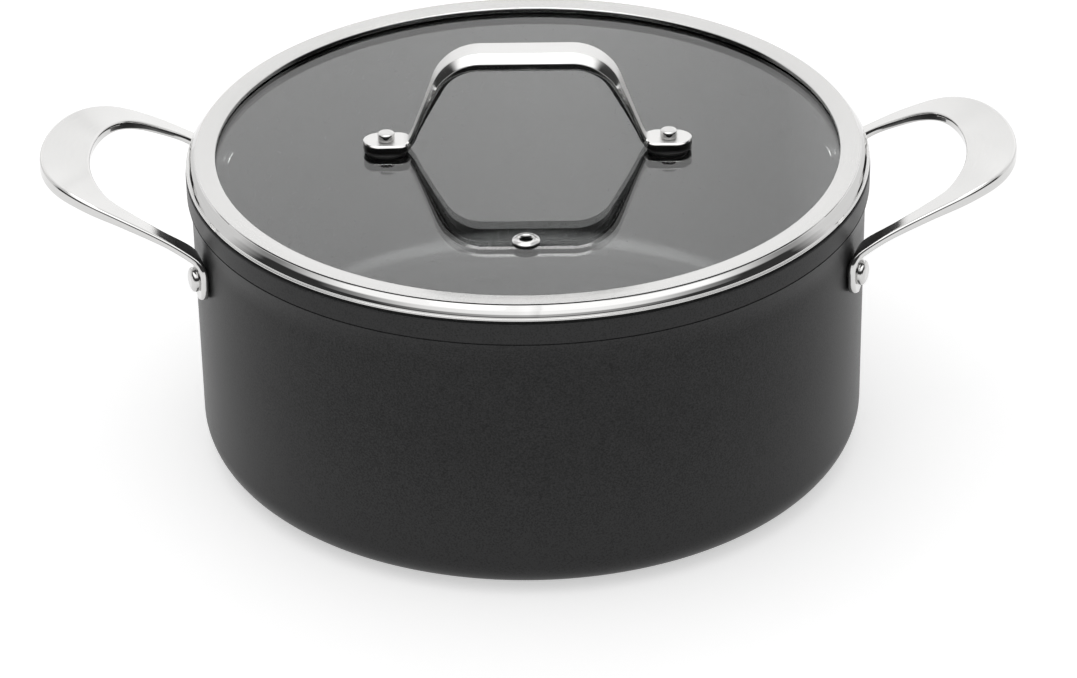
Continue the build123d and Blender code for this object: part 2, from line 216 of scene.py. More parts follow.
def strap(name, left, right, outline, marks):
    """A bar bent along a path. Left and right are the edges of its top face; at each station the closed
    outline (across, down) is drawn across the edges and below the top face, square to the path. The ends
    are capped. Marks: values for each station and outline point."""
    mid = (left + right) / 2
    across = unit(right - left)
    down = unit(np.cross(across, np.gradient(mid, axis=0)))
    down = down * -np.sign(down[len(down) // 2, 2])
    stations, ring = outline.shape[:2]
    points = mid[:, None] + outline[:, :, :1] * across[:, None] + outline[:, :, 1:] * down[:, None]
    i = np.arange(stations - 1)[:, None]
    j = np.arange(ring)[None, :]
    m = (j + 1) % ring
    quads = np.stack([i * ring + j, i * ring + m, (i + 1) * ring + m, (i + 1) * ring + j], 2)
    start_cap = np.arange(ring)[::-1].tolist()
    end_cap = (np.arange(ring) + (stations - 1) * ring).tolist()
    faces = quads.reshape(-1, 4).tolist() + [start_cap, end_cap]
    along = np.broadcast_to(run_length(mid)[:, None, None], (stations, ring, 1))
    values = {"grain": np.concatenate([along, outline], 2).reshape(-1, 3)}
    values |= {mark: value.ravel() for mark, value in marks.items()}
    piece = make_piece(name, points.reshape(-1, 3), faces, values)
    outwards = Vector(points[0, 0] - mid[0] - down[0])
    if piece.data.polygons[0].normal.dot(outwards) < 0:
        piece.data.flip_normals()
    return piece


# Nodes

# The colour sockets of a Mix node
MIX_FIRST = 6
MIX_SECOND = 7
MIX_RESULT = 2


class Nodes:
    """Short calls for adding and joining the nodes of one tree."""

    def __init__(self, tree):
        self.tree = tree

    def add(self, kind, **settings):
        node = self.tree.nodes.new(kind)
        for key, value in settings.items():
            setattr(node, key, value)
        return node

    def join(self, source, target):
        self.tree.links.new(source, target)

    def feed(self, socket, value):
        """Sets a socket, or joins it where the value comes from another node."""
        if isinstance(value, bpy.types.NodeSocket):
            self.join(value, socket)
        else:
            socket.default_value = value

    def math(self, operation, a, b=0.0, clamp=False):
        node = self.add("ShaderNodeMath", operation=operation, use_clamp=clamp)
        self.feed(node.inputs[0], a)
        self.feed(node.inputs[1], b)
        return node.outputs[0]

    def plus(self, a, b):
        return self.math("ADD", a, b)

    def times(self, a, b):
        return self.math("MULTIPLY", a, b)

    def span(self, value, low, high, to_low=0.0, to_high=1.0):
        """The value carried from low and high to two other limits, and held at them beyond."""
        node = self.add("ShaderNodeMapRange", clamp=True)
        for socket, given in zip(node.inputs, (value, low, high, to_low, to_high)):
            self.feed(socket, given)
        return node.outputs[0]

    def blend(self, share, first, second):
        node = self.add("ShaderNodeMix", data_type="RGBA")
        self.feed(node.inputs["Factor"], share)
        self.feed(node.inputs[MIX_FIRST], first)
        self.feed(node.inputs[MIX_SECOND], second)
        return node.outputs[MIX_RESULT]

    def noise(self, vector, scale, detail, rough=0.5, w=None):
        node = self.add("ShaderNodeTexNoise", noise_dimensions="3D" if w is None else "4D")
        self.join(vector, node.inputs["Vector"])
        self.feed(node.inputs["Scale"], scale)
        node.inputs["Detail"].default_value = detail
        node.inputs["Roughness"].default_value = rough
        if w is not None:
            self.feed(node.inputs["W"], w)
        return node.outputs[0]

    def bump(self, height, strength, distance):
        node = self.add("ShaderNodeBump")
        node.inputs["Strength"].default_value = strength
        node.inputs["Distance"].default_value = distance
        self.join(height, node.inputs["Height"])
        return node.outputs[0]

    def parts(self, vector):
        node = self.add("ShaderNodeSeparateXYZ")
        self.join(vector, node.inputs[0])
        return node.outputs

    def whole(self, x, y, z):
        node = self.add("ShaderNodeCombineXYZ")
        for socket, given in zip(node.inputs, (x, y, z)):
            self.feed(socket, given)
        return node.outputs[0]

    def place(self, kind="Object"):
        return self.add("ShaderNodeTexCoord").outputs[kind]

    def mark(self, name, kind="Fac"):
        return self.add("ShaderNodeAttribute", attribute_name=name).outputs[kind]

    def use(self, tree, **inputs):
        node = self.add("ShaderNodeGroup", node_tree=tree)
        for key, value in inputs.items():
            self.feed(node.inputs[key], value)
        return node.outputs


def group(name, inputs, outputs):
    """An empty node group with value inputs {name: default} and the named value outputs."""
    tree = bpy.data.node_groups.new(name, "ShaderNodeTree")
    for key, default in inputs.items():
        socket = tree.interface.new_socket(key, in_out="INPUT", socket_type="NodeSocketFloat")
        socket.default_value = default
    for key in outputs:
        tree.interface.new_socket(key, in_out="OUTPUT", socket_type="NodeSocketFloat")
    given = tree.nodes.new("NodeGroupInput").outputs
    return tree, Nodes(tree), given, tree.nodes.new("NodeGroupOutput").inputs


def round_brushing():
    """Brushing that runs round the Z axis: noise stretched along the circle and fine across radius and
    height, and broad patches."""
    least_radius, patch_scale = 0.0005, 45.0
    defaults = {"Fineness": 7000.0, "Length": 5.0}
    tree, n, given, out = group("round brushing", defaults, ("Height", "Patches"))
    place = n.place()
    x, y, z = n.parts(place)
    radius = n.math("SQRT", n.plus(n.times(x, x), n.times(y, y)))
    safe = n.math("MAXIMUM", radius, least_radius)
    vector = n.whole(
        n.times(n.math("DIVIDE", x, safe), given["Length"]),
        n.times(n.math("DIVIDE", y, safe), given["Length"]),
        n.times(z, given["Fineness"]),
    )
    across = n.times(radius, given["Fineness"])
    n.join(n.noise(vector, 1.0, detail=2.0, rough=0.6, w=across), out["Height"])
    n.join(n.noise(place, patch_scale, detail=3.0), out["Patches"])
    return tree


def straight_brushing():
    """Brushing along a bar: noise on the bar's own (along, across, down) measures, long one way and fine
    across, and broad patches."""
    patch_scale = 0.06
    defaults = {"Fineness": 5.0, "Length": 0.12}
    tree, n, given, out = group("straight brushing", defaults, ("Height", "Patches"))
    grain = n.mark("grain", "Vector")
    along, across, down = n.parts(grain)
    vector = n.whole(
        n.times(along, given["Length"]),
        n.times(across, given["Fineness"]),
        n.times(down, given["Fineness"]),
    )
    n.join(n.noise(vector, 1.0, detail=2.0, rough=0.6), out["Height"])
    n.join(n.noise(grain, patch_scale, detail=3.0), out["Patches"])
    return tree


def sprayed_grit():
    """Fine sprayed grain: two sizes of noise, and small flecks around some points of a cell pattern."""
    broad_scale, broad_share, cell_scale, fleck_choice = 0.12, 0.12, 0.5, 0.72
    defaults = {"Scale": 1500.0, "Fleck Size": 0.2}
    tree, n, given, out = group("sprayed grit", defaults, ("Grain", "Flecks"))
    place = n.place()
    fine = n.noise(place, given["Scale"], detail=3.0, rough=0.65)
    broad = n.noise(place, n.times(given["Scale"], broad_scale), detail=2.0)
    n.join(n.plus(n.times(fine, 1 - broad_share), n.times(broad, broad_share)), out["Grain"])
    cells = n.add("ShaderNodeTexVoronoi", feature="F1")
    n.join(place, cells.inputs["Vector"])
    n.join(n.times(given["Scale"], cell_scale), cells.inputs["Scale"])
    near = n.span(cells.outputs["Distance"], given["Fleck Size"], 0.0)
    pick = n.add("ShaderNodeSeparateColor")
    n.join(cells.outputs["Color"], pick.inputs[0])
    chosen = n.math("GREATER_THAN", pick.outputs[0], fleck_choice)
    n.join(n.times(near, chosen), out["Flecks"])
    return tree


BRUSH_ROUND = round_brushing()
BRUSH_ALONG = straight_brushing()
GRIT = sprayed_grit()


# Materials

# Depths of relief, in metres
FINE = 0.0001
COARSE = 0.0002
# Ranges of a noise value, from most of it to its middle
WIDE_RANGE = (0.2, 0.8)
USUAL_RANGE = (0.25, 0.75)
PATCH_RANGE = (0.3, 0.7)
CONTRAST_RANGE = (0.36, 0.64)
# Roughness of bright polished steel
POLISH = 0.05


def grey(level):
    """A neutral colour."""
    return level, level, level, 1


def material(name):
    """A new material with its node helper and its main shader's sockets."""
    made = bpy.data.materials.new(name)
    made.use_nodes = True
    return made, Nodes(made.node_tree), made.node_tree.nodes["Principled BSDF"].inputs


def steel(name):
    """A new material whose main shader is plain metal."""
    made, n, shader = material(name)
    shader["Metallic"].default_value = 1.0
    return made, n, shader


def pot_coating():
    """Charcoal sprayed coating of the outside, with fine light and dark grit. It has painted light: it is
    paler on the collar, against the shade under the lid's bead, and low down, in place of a front fill
    light: each zone gives two heights in metres and the share of the paler tone at each."""
    dark, pale, fleck = (0.015, 0.015, 0.0152, 1), (0.042, 0.042, 0.0425, 1), (0.1, 0.1, 0.101, 1)
    collar_painted_light = (0.101, 0.104, 0.0, 0.35)
    foot_painted_light = (0.06, 0.012, 0.0, 0.45)
    fleck_share = 0.15
    made, n, shader = material("charcoal coating")
    grit = n.use(GRIT)
    height = n.parts(n.place())[2]
    # Painted light: the coating is made paler on the collar and low down, in place of light falling there
    painted_lift = n.math("MAXIMUM", n.span(height, *collar_painted_light), n.span(height, *foot_painted_light))
    base = n.blend(n.plus(n.span(grit["Grain"], *CONTRAST_RANGE), painted_lift), dark, pale)
    n.join(n.blend(n.times(grit["Flecks"], fleck_share), base, fleck), shader["Base Color"])
    n.join(n.span(grit["Grain"], *USUAL_RANGE, to_low=0.3, to_high=0.44), shader["Roughness"])
    n.join(n.bump(grit["Grain"], strength=0.16, distance=COARSE), shader["Normal"])
    shader["Specular IOR Level"].default_value = 0.13
    return made


def inside_coating():
    """Black non-stick coating of the inside, glossier, with smooth mineral flecks that glint."""
    dark, pale = grey(0.004), grey(0.016)
    fleck_gloss = 0.14
    made, n, shader = material("non-stick coating")
    grit = n.use(GRIT, **{"Scale": 1300.0, "Fleck Size": 0.4})
    n.join(n.blend(grit["Grain"], dark, pale), shader["Base Color"])
    matt = n.span(grit["Grain"], *USUAL_RANGE, to_low=0.2, to_high=0.3)
    n.join(n.math("SUBTRACT", matt, n.times(grit["Flecks"], fleck_gloss)), shader["Roughness"])
    n.join(n.bump(grit["Grain"], strength=0.12, distance=COARSE), shader["Normal"])
    shader["Specular IOR Level"].default_value = 1.0
    return made


def satin_steel(name, brushing, dark, pale, patches, streaks, relief):
    """Steel with a brushed satin face and polished edges, from the satin mark. Patches and streaks give the
    two limits of the roughness that each of them adds to the satin."""
    made, n, shader = steel(name)
    satin = n.mark("satin")
    brush = n.use(brushing)
    patchy = n.span(brush["Patches"], *PATCH_RANGE, *patches)
    streaky = n.span(brush["Height"], *WIDE_RANGE, *streaks)
    n.join(n.plus(n.times(satin, n.plus(patchy, streaky)), POLISH), shader["Roughness"])
    n.join(n.blend(brush["Height"], dark, pale), shader["Base Color"])
    n.join(n.bump(n.times(brush["Height"], satin), strength=relief, distance=FINE), shader["Normal"])
    return made


def rim_metal():
    """Satin band brushed round the ring, with a polished edge."""
    dark, pale = (0.53, 0.526, 0.52, 1), (0.62, 0.616, 0.61, 1)
    patches, streaks = (0.15, 0.2), (-0.04, 0.05)
    return satin_steel("rim steel", BRUSH_ROUND, dark, pale, patches, streaks, relief=0.1)


def handle_metal():
    """Satin top brushed along the bar and polished sides."""
    dark, pale = (0.57, 0.567, 0.56, 1), (0.655, 0.651, 0.645, 1)
    patches, streaks = (0.08, 0.12), (-0.03, 0.04)
    return satin_steel("handle steel", BRUSH_ALONG, dark, pale, patches, streaks, relief=0.06)


def arch_metal():
    """Satin top, polished bevels and a grainy unpolished underside, from the satin and under marks; the
    underside's near-black is painted shade, and on the feet's polished sides a painted reflection.
    """
    dark, pale = (0.6, 0.597, 0.59, 1), (0.68, 0.676, 0.67, 1)
    raw_shade_dark, raw_shade_pale = grey(0.01), (0.1, 0.099, 0.098, 1)
    raw_roughness = 0.3
    made, n, shader = steel("arch steel")
    satin = n.mark("satin")
    under = n.mark("under")
    brush = n.use(BRUSH_ALONG)
    grit = n.use(GRIT, Scale=1600.0)
    face = n.times(satin, n.span(brush["Patches"], *PATCH_RANGE, to_low=0.28, to_high=0.36))
    n.join(n.plus(n.plus(face, POLISH), n.times(under, raw_roughness)), shader["Roughness"])
    clean = n.blend(brush["Height"], dark, pale)
    # Painted shade: the grain is real, but the near-black colour of the underside is painted shade, and on
    # the feet's sides a painted reflection of the dark glass
    raw_and_shade = n.blend(grit["Grain"], raw_shade_dark, raw_shade_pale)
    n.join(n.blend(under, clean, raw_and_shade), shader["Base Color"])
    height = n.plus(n.times(brush["Height"], satin), n.times(grit["Grain"], under))
    n.join(n.bump(height, strength=0.1, distance=FINE), shader["Normal"])
    return made


def polished_metal():
    """Polished steel with faint wear patches."""
    dark, pale = (0.55, 0.547, 0.54, 1), (0.63, 0.626, 0.62, 1)
    made, n, shader = steel("polished steel")
    grit = n.use(GRIT, Scale=300.0)
    n.join(n.span(grit["Grain"], *PATCH_RANGE, to_low=0.07, to_high=0.16), shader["Roughness"])
    n.join(n.blend(grit["Grain"], dark, pale), shader["Base Color"])
    return made


def plate_metal():
    """Turned steel of the underside: fine rings from the lathe."""
    dark, pale = (0.46, 0.455, 0.45, 1), (0.56, 0.555, 0.55, 1)
    made, n, shader = steel("plate steel")
    brush = n.use(BRUSH_ROUND, Fineness=2600.0, Length=2.0)
    n.join(n.span(brush["Height"], *USUAL_RANGE, to_low=0.28, to_high=0.42), shader["Roughness"])
    n.join(n.blend(brush["Patches"], dark, pale), shader["Base Color"])
    n.join(n.bump(brush["Height"], strength=0.25, distance=COARSE), shader["Normal"])
    return made


def clear_glass():
    """Clear toughened glass with a faint uneven polish."""
    haze = (0.35, 0.7, 0.0, 0.02)
    made, n, shader = material("lid glass")
    grit = n.use(GRIT, Scale=60.0)
    n.join(n.span(grit["Grain"], *haze), shader["Roughness"])
    shader["Base Color"].default_value = (0.97, 0.985, 0.98, 1)
    shader["IOR"].default_value = 1.5
    shader["Transmission Weight"].default_value = 1.0
    return made


def black_rubber():
    """Matt black silicone with a fine moulded grain."""
    dark, pale = grey(0.008), grey(0.022)
    made, n, shader = material("black silicone")
    grit = n.use(GRIT, Scale=1100.0)
    n.join(n.blend(grit["Grain"], dark, pale), shader["Base Color"])
    n.join(n.span(grit["Grain"], *WIDE_RANGE, to_low=0.5, to_high=0.66), shader["Roughness"])
    n.join(n.bump(grit["Grain"], strength=0.15, distance=FINE), shader["Normal"])
    return made


COATING = pot_coating()
INSIDE = inside_coating()
RIM = rim_metal()
HANDLE = handle_metal()
ARCH = arch_metal()
POLISHED = polished_metal()
PLATE = plate_metal()
GLASS = clear_glass()
RUBBER = black_rubber()


def fit(piece, body, slot, finish, *nodes):
    """Joins a new piece to its body and its material, and hides the nodes it stands for. The slot is not
    used.
    """
    piece.data.materials.append(finish)
    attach(piece, body)
    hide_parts(*nodes)


# Pot sizes, in millimetres; the main ones come from the frame

WALL_THICKNESS = 3.2
FLOOR_THICKNESS = 4.5
PLATE_CLEARANCE = 0.1
COLLAR_OVERHANG = 1.5
COLLAR_HEIGHT = 9.2
TAPER_DROP = 16.5
TAPER_BEND = 60.0
BASE_CORNER = 16.0
FLOOR_CORNER = 13.0
MOUTH_ROUND = 0.8
GROOVE_WIDTH = 0.5
GROOVE_DEPTH = 0.5
GROOVE_DRAFT = 0.05
GROOVE_EDGE = 0.06
GROOVE_CORNER = 0.04
LIP_INSET = 1.4
LIP_HEIGHT = 1.0
LIP_DRAFT = 0.1
LIP_ROUND = 0.5

POT_LOW, POT_HIGH = node_box("pot_body")
PLATE_HIGH = node_box("base_plate")[1]
COLLAR_RADIUS = POT_HIGH[0]
POT_TOP = POT_HIGH[2]
POT_FOOT = POT_LOW[2]
PLATE_TOP = PLATE_HIGH[2]
RECESS_RADIUS = PLATE_HIGH[0] + PLATE_CLEARANCE
WALL_RADIUS = COLLAR_RADIUS - COLLAR_OVERHANG
MOUTH_RADIUS = WALL_RADIUS - WALL_THICKNESS
FLOOR_TOP = PLATE_TOP + FLOOR_THICKNESS
TAPER_FOOT = POT_TOP - TAPER_DROP
GROOVE_FOOT = POT_TOP - COLLAR_HEIGHT
GROOVE_TOP = GROOVE_FOOT + GROOVE_WIDTH
GROOVE_RADIUS = COLLAR_RADIUS - GROOVE_DEPTH
LIP_RADIUS = COLLAR_RADIUS - LIP_INSET
LIP_FOOT = POT_TOP - LIP_HEIGHT
# Faces nearer the axis and higher up than these have the inside's coating
COATING_REACH = MOUTH_RADIUS + 0.7
COATING_FOOT = FLOOR_TOP - 0.5

LUG_FOOT = node_box("right_side_handle")[0][2]
LUG_ROUND = 6.2
# Edges of the right loop's top face, from the foot of its rear lug to the middle of its grip: x, y and z
# of the outer edge, then of the inner edge
LOOP_EDGES = (
    (115.3, 48.4, 77.3, 119.5, 36.3, 77.3),
    (115.3, 48.4, 80.0, 119.5, 36.3, 80.0),
    (115.3, 48.4, 84.0, 119.5, 36.3, 84.0),
    (115.3, 48.4, 88.5, 119.5, 36.3, 89.5),
    (116.6, 47.8, 92.6, 120.6, 36.9, 93.8),
    (121.0, 46.5, 96.2, 124.4, 37.7, 97.8),
    (130.0, 45.0, 101.5, 131.0, 38.1, 102.1),
    (140.0, 44.0, 106.9, 139.5, 36.2, 106.6),
    (150.0, 42.4, 111.5, 146.5, 33.8, 110.1),
    (156.5, 40.5, 114.1, 151.2, 30.8, 112.0),
    (162.5, 37.2, 115.9, 154.6, 26.4, 113.4),
    (168.3, 32.3, 117.0, 157.3, 21.0, 114.4),
    (173.6, 25.0, 117.4, 159.4, 14.6, 115.0),
    (177.9, 14.0, 117.4, 160.7, 7.5, 115.4),
    (179.6, 0.0, 117.4, 161.1, 0.0, 115.5),
)
MIRROR_Y = (1, -1, 1, 1, -1, 1)
LOOP_STATIONS = 361
# Distance from the pot's axis, and the thickness of the loop there
LOOP_DEPTHS = ((124.5, 3.0), (126.0, 2.8), (136.0, 2.9), (150.0, 3.8), (165.0, 5.0), (178.0, 5.6))
LOOP_TOP_ROUND = 1.1
LOOP_UNDER_ROUND = 1.8
LOOP_LEAST_HALF = 0.4
# Depths between which the satin of the top gives way to polish
LOOP_SATIN = (0.25, 0.5)

SIDE_RIVET_LOW, SIDE_RIVET_HIGH = node_box("right_front_handle_rivet")
SIDE_RIVET_HEIGHT = (SIDE_RIVET_LOW[2] + SIDE_RIVET_HIGH[2]) / 2
LUG_ANGLE = 19.8


# Pot

def pot_shell():
    """The pot's outline turned about Z: outside up from the base, past the fine groove of the collar, over
    the stepped lip and down the inside to the floor."""
    line = profile([
        (0, PLATE_TOP, 0),
        (RECESS_RADIUS, PLATE_TOP, CRISP),
        (RECESS_RADIUS, POT_FOOT, ROUND),
        (WALL_RADIUS, POT_FOOT, BASE_CORNER),
        (WALL_RADIUS, TAPER_FOOT, TAPER_BEND),
        (COLLAR_RADIUS, GROOVE_FOOT, GROOVE_EDGE),
        (GROOVE_RADIUS, GROOVE_FOOT + GROOVE_DRAFT, GROOVE_CORNER),
        (GROOVE_RADIUS, GROOVE_TOP - GROOVE_DRAFT, GROOVE_CORNER),
        (COLLAR_RADIUS, GROOVE_TOP, GROOVE_EDGE),
        (COLLAR_RADIUS, LIP_FOOT - LIP_DRAFT, LIP_ROUND),
        (LIP_RADIUS, LIP_FOOT, CRISP),
        (LIP_RADIUS, POT_TOP, CRISP),
        (MOUTH_RADIUS, POT_TOP, MOUTH_ROUND),
        (MOUTH_RADIUS, FLOOR_TOP, FLOOR_CORNER),
        (0, FLOOR_TOP, 0),
    ], closed=False, steps=15, support=0.6)
    piece = turned_solid("pot_shell", line, sides=300)
    fit(piece, "pot", "nonstick_pot", COATING, "pot_body")
    piece.data.materials.append(INSIDE)
    middle = np.zeros(len(piece.data.polygons) * 3)
    piece.data.polygons.foreach_get("center", middle)
    x, y, z = middle.reshape(-1, 3).T / MM
    inside = (np.hypot(x, y) < COATING_REACH) & (z > COATING_FOOT)
    piece.data.polygons.foreach_set("material_index", inside.astype(np.int32))


def side_handle(name, turn, node):
    """A forged loop: the edges of its top face are splines from a lug on the wall, out along an arm, round
    the grip and back. The outline is a flat strip with round edges, narrowed by a circle at a lug's foot."""
    half = np.array(LOOP_EDGES)
    path = smooth_curve(np.concatenate([half, half[-2::-1] * MIRROR_Y]), LOOP_STATIONS)
    outer, inner = path[:, :3], path[:, 3:]
    x, y, height = ((inner + outer) / 2).T
    reach = np.hypot(x, y)
    foot = quarter_round(fade_in(height, LUG_FOOT, LUG_FOOT + LUG_ROUND))
    taper = np.where(reach < COLLAR_RADIUS, foot, 1)
    width = np.maximum(np.linalg.norm(outer - inner, axis=1) / 2 * taper, LOOP_LEAST_HALF)
    depth = np.interp(reach, *np.transpose(LOOP_DEPTHS))
    top = np.zeros_like(depth)
    corners = np.stack([
        np.stack([-width, top], 1),
        np.stack([width, top], 1),
        np.stack([width, depth], 1),
        np.stack([-width, depth], 1),
    ], 1)
    rounds = (LOOP_TOP_ROUND, LOOP_TOP_ROUND, LOOP_UNDER_ROUND, LOOP_UNDER_ROUND)
    outline = soften(corners, rounds, steps=7, support=0.25)
    satin = 1 - fade_in(outline[:, :, 1], *LOOP_SATIN)
    cos, sin = math.cos(turn), math.sin(turn)
    spin = np.array([[cos, -sin, 0], [sin, cos, 0], [0, 0, 1]])
    piece = strap(name, inner @ spin.T, outer @ spin.T, outline, {"satin": satin})
    fit(piece, "pot", "handle_steel", HANDLE, node)


def side_rivet(name, angle, node):
    """A rivet turned about a radius of the pot: flat inner head, shank, and a round-edged button outside
    the lug. Its levels are distances from the pot's axis."""
    line = rivet_line(
        tail=(5.3, 5.5), tail_levels=(119.6, 121.2), tail_round=0.8, shank=2.5,
        head=(4.4, 4.65, 4.6, 3.0), head_levels=(127.55, 128.2, 129.8, 130.6), head_rounds=(0.3, 1.2, 2.5),
    )
    lift = Matrix.Translation((0, 0, SIDE_RIVET_HEIGHT))
    outwards = Matrix.Rotation(math.radians(angle), 4, "Z") @ Matrix.Rotation(math.pi / 2, 4, "Y")
    piece = turned_solid(name, line, sides=72, place=lift @ outwards)
    fit(piece, "pot", "rivet_steel", POLISHED, node)


pot_shell()
side_handle("right_handle_loop", 0.0, "right_side_handle")
side_handle("left_handle_loop", math.pi, "left_side_handle")
side_rivet("right_rear_button", LUG_ANGLE, "right_rear_handle_rivet")
side_rivet("right_front_button", -LUG_ANGLE, "right_front_handle_rivet")
side_rivet("left_rear_button", 180 - LUG_ANGLE, "left_rear_handle_rivet")
side_rivet("left_front_button", 180 + LUG_ANGLE, "left_front_handle_rivet")


# Lid sizes, in millimetres; the main ones come from the frame

LINER_CLEARANCE = 0.05
SHELF_THICKNESS = 0.7
SHELF_RADIUS = 116.7
SKIRT_CLEARANCE = 0.6
SKIRT_WALL = 0.9
RIM_INSIDE = 114.9
RIM_LIP_TOP = 117.5
RIM_LIP_ROUND = 0.5
# The rim's top from its satin band out to the crease above the bead: radius, height, corner radius
BAND_CROWN = (118.5, 117.9, 6)
BAND_EDGE = (122.35, 118.2, 0.04)
RIM_STEP = (122.53, 117.72, 0.04)
RIM_SHOULDER = ((122.7, 117.64, 0.05), (123.9, 116.4, 4), (124.75, 115.25, 4), (125.3, 114.4, 1))
RIM_CREASE = (125.35, 113.95, 0.1)
BEAD_RISE = 0.75
BEAD_GAP = 0.1
BEAD_TOP_ROUND = 0.28
BEAD_FOOT_ROUND = 0.3
# Heights between which the rim's satin starts, and radii between which it ends
RIM_SATIN_HEIGHTS = (117.3, 117.55)
RIM_SATIN_RADII = (122.4, 122.45)

RIM_LOW, RIM_HIGH = node_box("lid_rim")
LINER_LOW, LINER_HIGH = node_box("rim_liner")
BEAD_RADIUS = RIM_HIGH[0]
BEAD_TOP = POT_TOP + BEAD_RISE
BEAD_FOOT = POT_TOP + BEAD_GAP
CHANNEL_RADIUS = LINER_HIGH[0] + LINER_CLEARANCE
CHANNEL_TOP = LINER_HIGH[2]
SHELF_TOP = LINER_LOW[2]
SHELF_FOOT = SHELF_TOP - SHELF_THICKNESS
SKIRT_RADIUS = MOUTH_RADIUS - SKIRT_CLEARANCE
SKIRT_INSIDE = SKIRT_RADIUS - SKIRT_WALL
SKIRT_FOOT = RIM_LOW[2]

ARCH_REACH = 60.5
KNEE_REACH = 43.4
KNEE_BEND = 4.0
SHOULDER_REACH = 27.6
SHOULDER_BEND = 17.0
GRIP_LEVEL = 152.8
FOOT_THICKNESS = 3.2
FOOT_UNDER = node_box("lid_handle")[0][2]
FOOT_LEVEL = FOOT_UNDER + FOOT_THICKNESS / 2
FOOT_TOP = FOOT_UNDER + FOOT_THICKNESS
# Middle line of the arch from its right end to its top: distance, height, bend radius
ARCH_HALF = (
    (ARCH_REACH, FOOT_LEVEL, 0),
    (KNEE_REACH, FOOT_LEVEL, KNEE_BEND),
    (SHOULDER_REACH, GRIP_LEVEL, SHOULDER_BEND),
)
ARCH_STATIONS = 421
# Run from the foot's end, with the width, depth, upper bevel and lower bevel of the bar there
ARCH_SIZES = (
    (0, 6.4, FOOT_THICKNESS, 0.6, 0.3),
    (10, 6.4, FOOT_THICKNESS, 0.6, 0.3),
    (15, 6.4, 3.1, 0.6, 0.4),
    (19, 6.4, 2.4, 0.7, 0.7),
    (25, 6.8, 2.5, 0.9, 1.0),
    (30, 7.8, 3.0, 1.1, 1.3),
    (35, 9.4, 3.6, 1.3, 1.6),
    (40, 11.2, 4.2, 1.6, 1.8),
    (44, 12.5, 4.7, 1.9, 1.8),
    (50, 13.8, 5.4, 2.7, 1.5),
    (57, 14.6, 5.9, 3.4, 1.1),
    (63, 14.8, 6.1, 3.8, 0.9),
    (70, 14.8, 6.1, 3.8, 0.85),
    (80.2, 14.8, 6.1, 3.8, 0.85),
)
ARCH_SAMPLES = 400
FOOT_RADIUS = 6.2
# Runs at which a foot is at its widest, starts to narrow, loses the painted dark reflection on its sides and
# has become the neck
FOOT_MIDDLE = 10.0
NECK_START = 12.2
SHADED_SIDE_END = 16.5
NECK_END = 17.4
BEVEL_SHARE = 0.4
ARCH_ROUND = 0.35
ARCH_LEAST_HALF = 0.5
# Depths between which the satin of the top gives way to polish, and the depth over which the painted shade
# of a side or the underside starts
ARCH_SATIN = (0.1, 0.3)
SHADE_FADE = 0.2

LID_RIVET_LOW, LID_RIVET_HIGH = node_box("right_lid_rivet")
LID_RIVET_REACH = (LID_RIVET_LOW[0] + LID_RIVET_HIGH[0]) / 2
LID_RIVET_FOOT = LID_RIVET_LOW[2]
LID_RIVET_TOP = LID_RIVET_HIGH[2]
LID_RIVET_EDGE = LID_RIVET_TOP - 0.2
WASHER_FOOT = node_box("right_under_washer")[0][2]

VENT_LOW, VENT_HIGH = node_box("vent_eyelet")
VENT_MIDDLE = (0, (VENT_LOW[1] + VENT_HIGH[1]) / 2, 0)
VENT_RADIUS = VENT_HIGH[0]
VENT_FOOT = VENT_LOW[2]
VENT_TOP = VENT_HIGH[2]
VENT_SEAT = node_box("vent_gasket")[1][2]
VENT_WASHER_FOOT = node_box("vent_washer")[0][2]
VENT_BORE = 2.2
VENT_TUBE = 3.1
VENT_CURL = 4.0
VENT_CURL_RISE = 0.5
VENT_FLANGE = 0.4
VENT_CROWN = 4.0
VENT_MOUTH = 2.6
VENT_MOUTH_DROP = 0.6
VENT_CURL_ROUND = 0.3
VENT_EDGE_ROUND = 0.15
VENT_CROWN_ROUND = 0.9
VENT_MOUTH_ROUND = 0.5


# Lid

def rim_ring():
    """The rolled ring's outline turned about Z: rounded inner lip, satin band, fine step, polished shoulder
    and bead, and the skirt with its shelf."""
    line = profile([
        (CHANNEL_RADIUS, CHANNEL_TOP, EASED),
        (RIM_INSIDE, CHANNEL_TOP, EASED),
        (RIM_INSIDE, RIM_LIP_TOP, RIM_LIP_ROUND),
        BAND_CROWN,
        BAND_EDGE,
        RIM_STEP,
        *RIM_SHOULDER,
        RIM_CREASE,
        (BEAD_RADIUS, BEAD_TOP, BEAD_TOP_ROUND),
        (BEAD_RADIUS, BEAD_FOOT, BEAD_FOOT_ROUND),
        (LIP_RADIUS, POT_TOP, ROUND),
        (SKIRT_RADIUS, POT_TOP, EASED),
        (SKIRT_RADIUS, SKIRT_FOOT, ROUND),
        (SKIRT_INSIDE, SKIRT_FOOT, ROUND),
        (SKIRT_INSIDE, SHELF_FOOT, EASED),
        (SHELF_RADIUS, SHELF_FOOT, EASED),
        (SHELF_RADIUS, SHELF_TOP, EASED),
        (CHANNEL_RADIUS, SHELF_TOP, EASED),
    ], support=0.2)
    r, z = line.T
    satin = fade_in(z, *RIM_SATIN_HEIGHTS) * (1 - fade_in(r, *RIM_SATIN_RADII))
    piece = turned_ring("rim_ring", line, sides=420, marks={"satin": satin})
    fit(piece, "lid", "rim_steel", RIM, "lid_rim")


